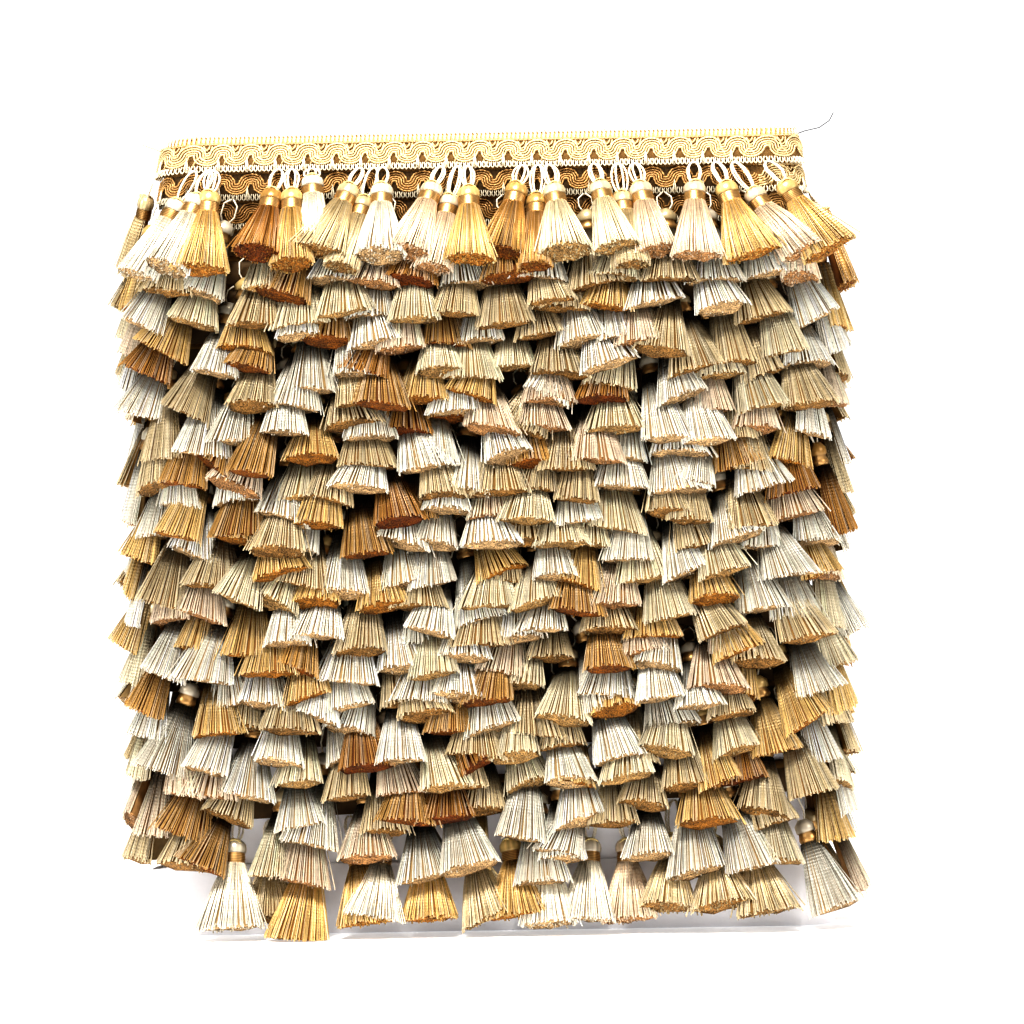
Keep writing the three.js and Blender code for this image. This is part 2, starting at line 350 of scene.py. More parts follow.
def skin(rings, sides):
    """Triangles between rings of points that run anticlockwise seen from the last ring."""
    ring = np.arange(rings - 1)[:, None] * sides
    side = np.arange(sides)[None, :]
    a, b = ring + side, ring + (side + 1) % sides
    c, d = b + sides, a + sides
    return np.stack([np.stack([a, b, c], -1), np.stack([a, c, d], -1)], 2).reshape(-1, 3)


def lids(rings, sides):
    """Triangles that close the first and the last ring of a tube."""
    fan = np.arange(1, sides - 1)
    last = (rings - 1) * sides
    start = np.stack([np.zeros_like(fan), fan + 1, fan], -1)
    end = np.stack([np.full_like(fan, last), last + fan, last + fan + 1], -1)
    return np.concatenate([start, end])


def tubes(pile, paths, radii, sides, facing, colour, finish):
    """Round threads along paths, which are threads by points by three."""
    threads, rings = paths.shape[:2]
    step = np.diff(paths, axis=1, prepend=paths[:, :1])
    along = np.cumsum(np.linalg.norm(step, axis=2), axis=1)
    tangent = np.gradient(paths, axis=1)
    tangent /= np.linalg.norm(tangent, axis=2, keepdims=True)
    side = np.cross(np.broadcast_to(facing, paths.shape), tangent)
    side /= np.linalg.norm(side, axis=2, keepdims=True)
    up = np.cross(tangent, side)
    turn = np.arange(sides) / sides * math.tau + math.pi / 2
    radii = np.broadcast_to(radii, (threads, rings))[:, :, None, None]
    spoke = np.cos(turn)[:, None] * side[:, :, None] + np.sin(turn)[:, None] * up[:, :, None]
    shape = (threads, rings, sides, 3)
    faces = np.concatenate([skin(rings, sides), lids(rings, sides)])
    start = np.arange(threads)[:, None, None] * rings * sides
    lay = np.empty(shape)
    lay[..., 0] = along[:, :, None]
    lay[..., 1] = np.cos(turn)
    lay[..., 2] = np.sin(turn)
    shade = np.broadcast_to(colour, shape).reshape(-1, 3)
    pile.add(paths[:, :, None] + spoke * radii, faces[None] + start, shade, finish, lay.reshape(-1, 3))


def shell(pile, rings, colours, finishes):
    """A closed skin through rings of points, each with its colour and finish."""
    rings = np.asarray(rings, float)
    count, sides = rings.shape[:2]
    middles = rings[[0, -1]].mean(1)
    points = np.concatenate([rings.reshape(-1, 3), middles])
    side = np.arange(sides)
    after = (side + 1) % sides
    top, foot = np.full(sides, count * sides), np.full(sides, count * sides + 1)
    last = (count - 1) * sides
    start = np.stack([top, after, side], -1)
    end = np.stack([last + side, last + after, foot], -1)
    colours = np.broadcast_to(colours, (count, sides, 3))
    finishes = np.broadcast_to(np.reshape(finishes, (-1, 1, 3)), (count, sides, 3))
    shade = np.concatenate([colours.reshape(-1, 3), colours[[0, -1]].mean(1)])
    finish = np.concatenate([finishes.reshape(-1, 3), finishes[[0, -1], 0]])
    pile.add(points, np.concatenate([skin(count, sides), start, end]), shade, finish)


class Tassel:
    """One tassel, placed by its root on the braid's lower edge."""

    def __init__(self, turn, rng, colour, width, length, **pose):
        point, out, run = (value[0] for value in spread_along([turn]))
        sine, cosine = math.sin(HEADING_LEAN), math.cos(HEADING_LEAN)
        outward = HEADING_CLEAR + ROOT_DROP * sine + HEADING_THICK / 2 * cosine
        drop = ROOT_DROP * cosine - HEADING_THICK / 2 * sine
        self.root = point + out * outward - UP * drop
        angle = math.radians(tassel_lean(turn) + pose.get("lean", 0))
        tilt = math.radians(pose.get("tilt", 0))
        straight = out * math.sin(angle) - UP * math.cos(angle)
        self.face = out * math.cos(angle) + UP * math.sin(angle)
        self.axis = straight * math.cos(tilt) + run * math.sin(tilt)
        self.across = run * math.cos(tilt) - straight * math.sin(tilt)
        self.rng = rng
        self.colour = np.array(colour) * rng.uniform(0.93, 1.05)
        self.half_width = width / 2
        self.hanger = pose.get("hanger", 0)
        self.forward = pose.get("forward", 0)
        self.bend = pose.get("bend", 0)
        self.slope = pose.get("slope", 0)
        self.lift = pose.get("lift", 0)
        self.slant = pose.get("slant", 0.2)
        self.foot = NECK_FOOT + self.hanger
        self.hem = length + self.hanger + pose.get("longer", 0)

    def at(self, down, across, proud):
        """Points from distances down, across and proud of the root, none of them under the floor."""
        down, across, proud = np.broadcast_arrays(down, across, proud)
        share = np.clip((down - self.foot) / (self.hem - self.foot), 0, 1.3)
        across = across + self.bend * share * (1 - 0.5 * share)
        proud = proud + self.forward * np.clip(down / HEAD_TOP, 0, 1) + self.lift * share**2
        points = self.root + down[..., None] * self.axis + across[..., None] * self.across
        points = points + proud[..., None] * self.face
        points[..., 2] = np.maximum(points[..., 2], LEAST_HEIGHT)
        return points

    def skirt(self, share):
        """Half the skirt's width and depth at a share of the way from its neck to its hem."""
        flare = np.power(np.clip(share, 0, 1), FLARE)
        half_width = NECK_HALF_WIDTH + (self.half_width - NECK_HALF_WIDTH) * flare
        half_depth = NECK_HALF_DEPTH + (SKIRT_HALF_DEPTH - NECK_HALF_DEPTH) * flare
        return half_width, half_depth

    def cut(self, across, forward):
        """How far down the skirt is cut off: less at its outer side, and unevenly across."""
        return self.hem - self.slant * SKIRT_HALF_DEPTH * (1 + forward) + self.slope * across

    def core(self, pile, sides, rings):
        """The skirt's inside, closed by its cut face of packed thread ends, both painted with shade."""
        rng = self.rng
        angles = np.arange(sides) / sides * math.tau
        top = self.foot - 0.8
        # Painted shade: the inside and the cut face are the yarn's colour, deepened and dimmed.
        inside = self.colour**INSIDE_DEPTH * INSIDE_SHADE_PAINT
        ends = self.colour**CUT_DEPTH * CUT_SHADE_PAINT
        loops, colours, finishes = [], [], []
        for share in np.linspace(0, 1, rings):
            half_width, half_depth = self.skirt(share)
            across = np.cos(angles) * half_width * CORE_WIDTH
            proud = INNER_FACE + half_depth * (1 + CORE_DEPTH * np.sin(angles))
            down = top + (self.cut(across, np.sin(angles)) - 0.9 - top) * share
            loops.append(self.at(down, across, proud))
            colours.append(inside * np.ones((sides, 1)))
            finishes.append(INSIDE)
        half_width, half_depth = self.skirt(1)
        for inward in (0.97, 0.66, 0.33):
            swing = angles + rng.uniform(-1.2, 1.2, sides) / sides
            across = np.cos(swing) * half_width * inward
            proud = INNER_FACE + half_depth * (1 + np.sin(swing) * inward)
            down = self.cut(across, np.sin(swing) * inward) + rng.uniform(-1.1, 0.3, sides)
            loops.append(self.at(down, across, proud))
            colours.append(ends * rng.uniform(0.5, 1.7, (sides, 1)))
            finishes.append(CUT_FACE)
        shell(pile, loops, colours, finishes)

    def strands(self, pile, count, shares, reach, radius, painted_shade):
        """The skirt's threads round its outer side, with uneven ends, and painted shade towards the neck.
        """
        rng = self.rng
        shares = np.asarray(shares, float)[None, :]
        place = np.linspace(-1, 1, count)[:, None] + rng.uniform(-0.6, 0.6, (count, 1)) / count
        place = np.clip(place, -1, 1)
        angle = math.pi / 2 - 0.5 * place * (math.pi / 2 + reach) - 0.5 * np.arcsin(place)
        angle = angle + rng.normal(0, 0.03, (count, 1)) * shares
        half_width, half_depth = self.skirt(shares)
        stray = rng.random((count, 1)) < STRAY_SHARE
        splay = 1 + (rng.normal(0, 0.03, (count, 1)) + 0.2 * stray) * shares
        across = np.cos(angle) * half_width * splay
        raised = np.clip(rng.normal(0, 0.2, (count, 1)), -0.4, 0.4)
        proud = INNER_FACE + half_depth * (1 + np.sin(angle) * splay) + raised
        ends = self.cut(across[:, -1:], np.sin(angle[:, -1:])) + rng.uniform(-1.0, 0.7, (count, 1))
        ends = ends + 1.5 * stray * rng.random((count, 1))
        paths = self.at(self.foot - 0.6 + (ends - self.foot + 0.6) * shares, across, proud)
        radii = radius * (0.5 + 0.5 * shares) * rng.uniform(0.85, 1.12, (count, 1))
        # Random tone, plus painted shade on threads that lie deeper and painted light on raised ones.
        tone = np.clip(rng.normal(1.0, 0.13, (count, 1)) + 0.55 * raised, 0.55, 1.3)
        # Painted shade under the tassel above: darker and deeper in colour towards the neck.
        shade = (1 - painted_shade * (1 - shares) ** 1.2)[..., None]
        pale = (rng.uniform(0, 0.3, (count, 1)) * (rng.random((count, 1)) < 0.5))[..., None]
        colour = self.colour ** (2 - shade) * (1 - pale) + pale * PALE_YARN
        colour = np.clip(colour * tone[..., None] * shade, 0, 0.97)[:, :, None]
        tubes(pile, paths, radii, 3, self.face, colour, STRAND)

    def ends(self, pile, count):
        """Thread ends that stand out of the cut face."""
        rng = self.rng
        angle = rng.uniform(0, math.tau, (count, 1))
        inward = np.sqrt(rng.uniform(0.02, 1, (count, 1)))
        half_width, half_depth = self.skirt(1)
        across = np.cos(angle) * half_width * inward
        forward = np.sin(angle) * inward
        proud = INNER_FACE + half_depth * (1 + forward)
        down = self.cut(across, forward) + rng.uniform(-0.5, 0.6, (count, 1)) + np.array([[-1.6, 0]])
        sway = rng.normal(0, 0.3, (count, 2)) * np.array([[0, 1]])
        paths = self.at(down, across + sway, proud)
        # Painted shade: the ends are deepened halfway to the cut face's colour, with a random tone.
        colour = self.colour ** (1 + (CUT_DEPTH - 1) * 0.5) * rng.uniform(0.4, 1.0, (count, 1))
        tubes(pile, paths, 0.3, 3, self.face, colour[:, None, None], CUT_THREAD)

    def crown(self, pile, sides, head, windings, metal):
        """The satin head, and the neck bound with close turns of metallic thread."""
        angles = np.arange(sides) / sides * math.tau
        odd = np.arange(sides) % 2
        satin = np.clip(self.colour * 0.8 + HEAD_GILT, 0, 0.9)
        # Each head ring's tone is painted shade.
        rows = [(down, half, satin * tone, SATIN) for down, half, tone in head]
        # Random tone for each side, and painted shade on every second side, in the folds' valleys.
        fold_tone_and_shade = self.rng.uniform(0.72, 1.08, (sides, 1)) * (1 - 0.25 * odd[:, None])
        steps = 2 * windings + 1
        for step in range(steps):
            share = step / (steps - 1)
            swell = (1.06 if step % 2 else 0.93) - 0.05 * (2 * share - 1) ** 2
            down = NECK_TOP + (NECK_FOOT - NECK_TOP) * share
            # Every other neck ring, in the groove between windings, is painted at 0.3: painted shade.
            thread = np.array(metal) * (1.0 if step % 2 else 0.3)
            rows.append((down, NECK_HALF_WIDTH * swell, thread, BINDING))
        depth = NECK_HALF_DEPTH / NECK_HALF_WIDTH
        loops, colours, finishes = [], [], []
        for down, half, colour, finish in rows:
            ribbed = finish == SATIN
            ribs = half * (1.03 - 0.06 * odd if ribbed else 1)
            across = np.cos(angles) * ribs
            proud = INNER_FACE + NECK_HALF_DEPTH + np.sin(angles) * ribs * depth
            loops.append(self.at(down + self.hanger, across, proud))
            colours.append(colour * (fold_tone_and_shade if ribbed else np.ones((sides, 1))))
            finishes.append(finish)
        shell(pile, loops, colours, finishes)

    def hang(self, pile, cords, steps, sides, colour):
        """The hanger: cords that run in a ring from the braid through the head."""
        swing = np.linspace(0.12, math.tau - 0.12, steps)
        low = HEAD_TOP + self.hanger + 1.4
        paths = []
        for cord in range(cords):
            half = 2.7 - 0.95 * cord + self.rng.uniform(-0.4, 0.5)
            across = half * np.sin(swing) * (1 + 0.15 * np.cos(swing))
            down = low / 2 - 1.0 - (low / 2 + 1.2) * np.cos(swing)
            paths.append(self.at(down, across, 1.1 + 0.5 * cord + 0.9 * (1 - np.cos(swing)) / 2))
        tubes(pile, np.array(paths), 0.46, sides, self.face, colour, STITCH_THREAD)

    def knot(self, pile, colour):
        """Fine thread crossed over the top of the head."""
        swing = np.linspace(-1, 1, 7)
        paths = []
        for cross in range(3):
            slant = self.rng.uniform(-0.8, 0.8)
            across = swing * (2.2 + 0.5 * cross)
            down = 5.0 + self.hanger + 0.25 * cross + 1.4 * swing**2 + slant * swing
            paths.append(self.at(down, across, 4.3 + 0.5 * cross - 1.6 * swing**2))
        tubes(pile, np.array(paths), 0.3, 4, self.face, colour, KNOT_THREAD)


def whole_tassel(pile, tassel, settings):
    """A tassel that is seen from its hanger to its hem."""
    tassel.core(pile, 20, 4)
    # The last number of each call is the painted shade towards the neck.
    tassel.strands(pile, 50, (0, 0.3, 0.65, 1), 0.9, 0.33, 0.3)
    tassel.strands(pile, 46, (0, 0.4, 1), 0.5, 0.33, 0.3)
    tassel.ends(pile, 75)
    tassel.crown(pile, 24, [*HEAD, HEAD_FOOT], 7, settings.neck)
    tassel.hang(pile, 2, 13, 5, settings.hanger)
    tassel.knot(pile, settings.knot)


def covered_tassel(pile, tassel, settings):
    """A tassel of a lower turn, of which little more than the hem shows."""
    tassel.core(pile, 10, 3)
    # Deep painted shade towards the neck, where little more than the hem shows.
    tassel.strands(pile, 62, (0, 1), 0.3, 0.30, 0.95)
    tassel.ends(pile, 8)
    tassel.crown(pile, 8, HEAD[1::2], 1, settings.neck)
    tassel.hang(pile, 1, 8, 3, settings.hanger)


def drawn_yarn(rng, settings):
    """A yarn colour, drawn by how often it comes along the trim."""
    chances = np.array(list(YARN_SHARES.values()), float)
    return getattr(settings, rng.choice(list(YARN_SHARES), p=chances / chances.sum()))


def top_tassels(rng, settings):
    """The tassels of the top turn: those on the front from the table, the others evenly spaced."""
    length = settings.length / MM
    tassels = []
    for place, tilt, yarn, width, hanger, forward, bend in TOP_FRONT:
        turn = ROWS - 1 + (LAP_STOPS[3] + place + SIDE_CENTRE) / LAP
        pose = {"tilt": tilt, "hanger": hanger + TOP_HANGER, "forward": forward, "bend": bend}
        pose.update(lean=rng.uniform(2, 8), longer=rng.normal(1.8, 0.8), slope=rng.normal(0, 0.05))
        pose.update(lift=rng.uniform(0, 3), slant=rng.uniform(-0.1, 0.4))
        tassels.append(Tassel(turn, rng, getattr(settings, yarn), width, length, **pose))
    reach = LAP_STOPS[3] - CLEAR_OF_FRONT
    count = round(reach / (settings.spacing / MM))
    for place in range(count):
        turn = ROWS - 1 + (place + 0.5 + rng.uniform(-0.1, 0.1)) * reach / count / LAP
        out = spread_along([turn])[1][0]
        pose = {"tilt": rng.normal(0, 7), "hanger": rng.uniform(-1, 2), "forward": place % 2 * 2.0}
        pose.update(lean=-1.5 * abs(out[0]), slant=rng.uniform(0.1, 0.5))
        tassels.append(Tassel(turn, rng, drawn_yarn(rng, settings), rng.uniform(17, 22), length, **pose))
    return tassels


def lower_tassels(row, rng, settings):
    """The tassels of one lower turn, at the trim's own spacing and a little disordered."""
    spacing = settings.spacing / MM / LAP
    first = max(row - 1, FIRST_TURN + FIRST_SPACE / LAP)
    tassels = []
    for place in range(math.ceil(first / spacing), math.ceil(row / spacing)):
        turn = np.clip(place * spacing + rng.normal(0, 1.8) / LAP, first + 0.001, row - 0.001)
        aside = abs(spread_along([turn])[1][0][0])
        fan = START_FAN if turn < FIRST_TURN + START_SPAN else LOWER_FAN
        loose = 1 - SIDE_CALM * aside
        pose = {
            "tilt": float(np.clip(fan_tilt(turn) * fan + rng.normal(0, 8), -MOST_TILT, MOST_TILT)),
            "lean": rng.uniform(-3, 5) * loose - 2 * aside,
            "hanger": rng.uniform(0, 2) + rng.uniform(*LONGER_HANGERS.get(row, (0, 1))) * loose,
            "forward": rng.uniform(-1.8, 2.4) * loose,
            "bend": rng.normal(0, 1.4),
            "longer": rng.normal(0, 2.2),
            "slope": rng.normal(0, 0.12),
            "lift": rng.uniform(0, 3) * loose,
            "slant": rng.uniform(-0.2, 0.3),
        }
        width = rng.uniform(18, 24.5)
        if row == 1:
            width += FIRST_ROW_WIDER
            pose["hanger"] += START_DROP * (turn - FIRST_TURN)
        tassels.append(Tassel(turn, rng, drawn_yarn(rng, settings), width, settings.length / MM, **pose))
    return tassels


def ribbon(pile, colour):
    """The woven ground of the braid, over all its turns."""
    count = round((LAST_TURN - FIRST_TURN) * LAP / 8)
    turns = np.linspace(FIRST_TURN, LAST_TURN, count)[:, None]
    down, proud = (np.array(value)[None, :] for value in zip(*RIBBON))
    turns, down, proud = np.broadcast_arrays(turns, down, proud)
    # Painted shade: the ground of every turn below the top one is darker.
    depth = np.where(turns > ROWS - 1, 1, RIBBON_SHADE)[:, :, None]
    shade = depth * np.array(RIBBON_TONES)[:, None] * np.array(colour)
    shell(pile, on_heading(turns, down, proud), shade, GROUND)


def scroll(pile, first, last, steps, sides, tone, settings):
    """The scroll: a bundle of cords that swings up and down along the braid."""
    wave = settings.wave / MM
    waves = (last - first) * LAP / wave
    phase = np.linspace(0, math.tau * waves, round(waves * steps) + 1)
    along = wave * phase / math.tau + SCROLL_BULGE * np.sin(2 * phase) - SCROLL_SKEW * np.cos(phase)
    down = SCROLL_MIDDLE + SCROLL_SWING * np.cos(phase)
    aside = np.stack([-np.gradient(down), np.gradient(along)])
    aside /= np.linalg.norm(aside, axis=0)
    for cord, (offset, raised) in enumerate(SCROLL_CORDS):
        turns = first + (along + offset * aside[0]) / LAP
        turns = np.clip(turns, FIRST_TURN, LAST_TURN)
        proud = 1.5 + raised + 0.15 * np.sin(phase + cord * 1.1)
        path = on_heading(turns, down + offset * aside[1], proud)[None]
        colour = np.array(settings.cord) * (0.8 if cord % 2 else 1.0) * np.array(tone)
        radius = settings.thick / MM / 2
        tubes(pile, path, radius, sides, heading_face(turns)[None], colour, SCROLL_CORD)


def repeats(first, last, pitch):
    """The turns at which a stitch comes, one in a row."""
    return np.linspace(first, last, round((last - first) * LAP / pitch), endpoint=False)[:, None]


def stitches(pile, first, last, shape, pitch, radius, sides, colour):
    """Short threads at an even pitch: each a row of places along, down and proud of the braid."""
    along, down, proud = (np.array(value)[None, :] for value in zip(*shape))
    turns = np.clip(repeats(first, last, pitch) + along / LAP, FIRST_TURN, LAST_TURN)
    turns, down, proud = np.broadcast_arrays(turns, down, proud)
    tubes(pile, on_heading(turns, down, proud), radius, sides, heading_face(turns), colour, STITCH_THREAD)


class Link:
    """A node's output. Arithmetic on it adds Math nodes."""

    def __init__(self, finish, socket):
        self.finish = finish
        self.socket = socket

    def output(self, name):
        return Link(self.finish, self.socket.node.outputs[name])

    def maths(self, operation, first, second):
        return self.finish.node("ShaderNodeMath", {"operation": operation}, {0: first, 1: second})

    def __add__(self, other):
        return self.maths("ADD", self, other)

    def __radd__(self, other):
        return self.maths("ADD", other, self)

    def __sub__(self, other):
        return self.maths("SUBTRACT", self, other)

    def __rsub__(self, other):
        return self.maths("SUBTRACT", other, self)

    def __mul__(self, other):
        return self.maths("MULTIPLY", self, other)


class Finish:
    """A material in the making."""

    def __init__(self, name):
        self.material = bpy.data.materials.new(name)
        self.material.use_nodes = True
        self.material.node_tree.nodes.clear()

    def node(self, kind, settings=None, inputs=None):
        """Add a node of a type, with its settings and the values or links of its sockets."""
        tree = self.material.node_tree
        node = tree.nodes.new(kind)
        for name, value in (settings or {}).items():
            setattr(node, name, value)
        for name, value in (inputs or {}).items():
            if isinstance(value, Link):
                tree.links.new(value.socket, node.inputs[name])
            else:
                node.inputs[name].default_value = value
        return Link(self, node.outputs[0]) if node.outputs else None

    def attribute(self, name):
        """The three numbers of a point attribute."""
        held = self.node("ShaderNodeAttribute", {"attribute_name": name}).output("Vector")
        split = self.node("ShaderNodeSeparateXYZ", None, {"Vector": held})
        return split, split.output("Y"), split.output("Z")

    def place(self):
        return self.node("ShaderNodeTexCoord").output("Object")

    def surface(self, inputs):
        shader = self.node("ShaderNodeBsdfPrincipled", None, inputs)
        self.node("ShaderNodeOutputMaterial", None, {"Surface": shader})
        return self.material


def yarn_finish(name, twist, twist_shade):
    """Twisted yarn, metallic binding and cut ends, as the mesh's attributes say."""
    finish = Finish(name)
    place = finish.place()
    colour = finish.node("ShaderNodeAttribute", {"attribute_name": "Colour"}).output("Vector")
    metal, gloss, cut = finish.attribute("Finish")
    along, cosine, sine = finish.attribute("Lay")
    turn = finish.node("ShaderNodeMath", {"operation": "ARCTAN2"}, {0: sine, 1: cosine})
    # The twist paints light and shade of the plies' ridges and grooves into the colour, with a bump.
    winding = along * (math.tau / twist) + turn * 2
    stripe = finish.node("ShaderNodeMath", {"operation": "SINE"}, {0: winding})
    mottle = finish.node("ShaderNodeTexNoise", None, {"Vector": place, "Scale": 500.0, "Detail": 0.0})
    ends = finish.node("ShaderNodeTexNoise", None, {"Vector": place, "Scale": 1900.0, "Detail": 0.0})
    speckle = ends * 2.8 - 0.4
    shade = (1 + stripe * twist_shade) * (0.84 + mottle * 0.32) * (1 + cut * (speckle - 1))
    tinted = finish.node("ShaderNodeVectorMath", {"operation": "SCALE"}, {0: colour, "Scale": shade})
    relief = stripe * 0.35 + cut * speckle * 2
    bump = {"Strength": 0.45, "Distance": 0.0003, "Height": relief}
    return finish.surface(
        {
            "Base Color": tinted,
            "Metallic": metal,
            "Roughness": 0.9 - gloss * 0.58 - metal * 0.05,
            "Normal": finish.node("ShaderNodeBump", None, bump),
            "Specular IOR Level": 0.35,
        }
    )


def paper_finish(name, colour):
    """Smooth white carton with a faint fibre and a little grime."""
    finish = Finish(name)
    place = finish.place()
    fibre = finish.node("ShaderNodeTexNoise", None, {"Vector": place, "Scale": 900.0, "Detail": 4.0})
    cloud = finish.node("ShaderNodeTexNoise", None, {"Vector": place, "Scale": 14.0, "Detail": 3.0})
    shade = 0.93 + fibre * 0.05 + cloud * 0.05
    scale = {0: colour, "Scale": shade}
    tinted = finish.node("ShaderNodeVectorMath", {"operation": "SCALE"}, scale)
    bump = {"Strength": 0.15, "Distance": 0.0002, "Height": fibre}
    return finish.surface(
        {
            "Base Color": tinted,
            "Roughness": 0.5 + cloud * 0.15,
            "Normal": finish.node("ShaderNodeBump", None, bump),
        }
    )


def floor_finish(name, colour, glow):
    """A pale floor that glows a little, so that it runs into the white behind it."""
    finish = Finish(name)
    light = {"Emission Color": (1.0, 1.0, 1.0, 1.0), "Emission Strength": glow}
    return finish.surface({"Base Color": (*colour, 1.0), "Roughness": 0.9, **light})


def length_property(name, description, default, low, high):
    return FloatProperty(
        name=name, description=description, default=default, min=low, max=high, unit="LENGTH"
    )


def colour_property(name, description, default):
    return FloatVectorProperty(
        name=name, description=description, default=default, min=0, max=1, size=3, subtype="COLOR"
    )


class CardSettings(bpy.types.PropertyGroup):
    rim: length_property("Rim", "How far the card's edges are rounded", 0.0004, 0.0001, 0.002)
    paper: colour_property("Paper", "Colour of the carton", (0.90, 0.90, 0.93))


class BraidSettings(bpy.types.PropertyGroup):
    wave: length_property("Scroll pitch", "Length of one swing of the scroll", 0.0113, 0.008, 0.02)
    thick: length_property("Cord", "Thickness of a scroll cord", 0.00076, 0.0004, 0.001)
    stitch: length_property("Stitch pitch", "Distance between two edge stitches", 0.0017, 0.0012, 0.003)
    cord: colour_property("Cord", "Colour of the scroll's cords", (0.80, 0.62, 0.34))
    ground: colour_property("Ground", "Colour of the woven ground", (0.26, 0.145, 0.045))
    loop: colour_property("Loops", "Colour of the loops along the lower edge", (0.88, 0.78, 0.58))
    stray: colour_property("Loose thread", "Colour of the thread at the cut end", (0.05, 0.05, 0.055))


class TasselSettings(bpy.types.PropertyGroup):
    spacing: length_property(
        "Spacing", "Distance between two tassels along the braid", 0.0154, 0.014, 0.02
    )
    length: length_property("Length", "From the braid's edge to the hem", 0.0395, 0.036, 0.042)
    seed: IntProperty(name="Disorder", description="Seed of the tassels' disorder", default=31, min=0)
    white: colour_property("White", "White rayon", (0.97, 0.90, 0.75))
    champagne: colour_property("Champagne", "Greenish champagne rayon", (0.70, 0.57, 0.35))
    cream: colour_property("Cream", "Cream rayon", (0.84, 0.74, 0.52))
    gold: colour_property("Gold", "Gold rayon", (0.77, 0.535, 0.22))
    copper: colour_property("Copper", "Copper rayon", (0.56, 0.335, 0.11))
    rust: colour_property("Rust", "Rust rayon", (0.46, 0.235, 0.06))
    blush: colour_property("Blush", "Pale pinkish rayon", (0.86, 0.70, 0.52))
    hanger: colour_property("Hanger", "Colour of the hanger cords", (0.90, 0.82, 0.66))
    knot: colour_property("Knot", "Colour of the thread over the head", (0.80, 0.64, 0.30))
    neck: colour_property("Neck", "Colour of the metallic binding", (0.72, 0.43, 0.17))


class StageSettings(bpy.types.PropertyGroup):
    floor: colour_property("Floor", "Colour of the floor", (0.90, 0.90, 0.92))
    distance: length_property("Camera distance", "From the card's middle to the camera", 1.6, 1.0, 4.0)
    ambient: FloatProperty(
        name="Ambient", description="Light from all round", default=0.11, min=0, max=2
    )
    glow: FloatProperty(name="Glow", description="The floor's own light", default=0.3, min=0, max=2)
    lens: FloatProperty(
        name="Lens", description="Focal length in millimetres", default=140.75, min=50, max=300
    )


class TRIM_OT_card(bpy.types.Operator):
    """Build the white card with rounded sides, and the strip round its foot"""

    bl_idname = "trim.card"
    bl_label = "Card"

    def execute(self, context):
        settings = context.scene.trim_card
        paper = paper_finish("white_carton", settings.paper)
        for name, node in (("card_board", "card_core"), ("card_strip", "card_band")):
            low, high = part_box(node)
            mesh = bpy.data.meshes.new(name)
            board = bmesh.new()
            self.board(board, low, high)
            if node == "card_band":
                inside = Vector((CARD_WIDTH / 2 + BAND_GAP, CARD_THICK / 2 + BAND_GAP, 0)) * MM
                self.board(board, low.z * Z_AXIS - inside, high.z * Z_AXIS + inside)
                self.join_walls(board, (low.z + high.z) / 2)
                for point in board.verts:
                    shoulder = max(0, abs(point.co.x) - CARD_WIDTH / 2 * MM)
                    point.co.z -= SHOULDER_SLOPE * shoulder * (point.co.z > low.z + 0.001)
            rims = [edge for edge in board.edges if edge.calc_face_angle(0) > SHARP_EDGE]
            soft_rim = {"offset": settings.rim, "segments": 2, "profile": 0.5, "material": -1}
            bmesh.ops.bevel(board, geom=rims, affect="EDGES", **soft_rim)
            bmesh.ops.recalc_face_normals(board, faces=board.faces)
            for face in board.faces:
                face.smooth = abs(face.normal.z) < 0.5
            board.to_mesh(mesh)
            board.free()
            mesh.materials.append(paper)
            placed(bpy.data.objects.new(name, mesh), [node])
        return {"FINISHED"}

    def board(self, board, low, high):
        """Add a box with its upright edges rounded, until its narrow sides are half circles."""
        corners = bmesh.ops.create_cube(board, size=1)["verts"]
        bmesh.ops.scale(board, verts=corners, vec=high - low)
        bmesh.ops.translate(board, verts=corners, vec=(low + high) / 2)
        edges = {edge for corner in corners for edge in corner.link_edges}
        upright = [edge for edge in edges if abs((edge.verts[0].co - edge.verts[1].co).z) > 1e-6]
        radius = (high - low).y / 2 - 1e-5
        round_side = {"offset": radius, "segments": 16, "profile": 0.5, "material": -1}
        bmesh.ops.bevel(board, geom=upright, affect="EDGES", **round_side)
        bmesh.ops.remove_doubles(board, verts=board.verts, dist=1e-4)

    def join_walls(self, band, middle):
        """Turn two boards, one inside the other, into the wall between them."""
        ends = [face for face in band.faces if abs(face.normal.z) > 0.5]
        bmesh.ops.delete(band, geom=ends, context="FACES_ONLY")
        rims = [edge for edge in band.edges if len(edge.link_faces) == 1]
        for upper in (False, True):
            level = [edge for edge in rims if (edge.verts[0].co.z > middle) == upper]
            bmesh.ops.bridge_loops(band, edges=level)


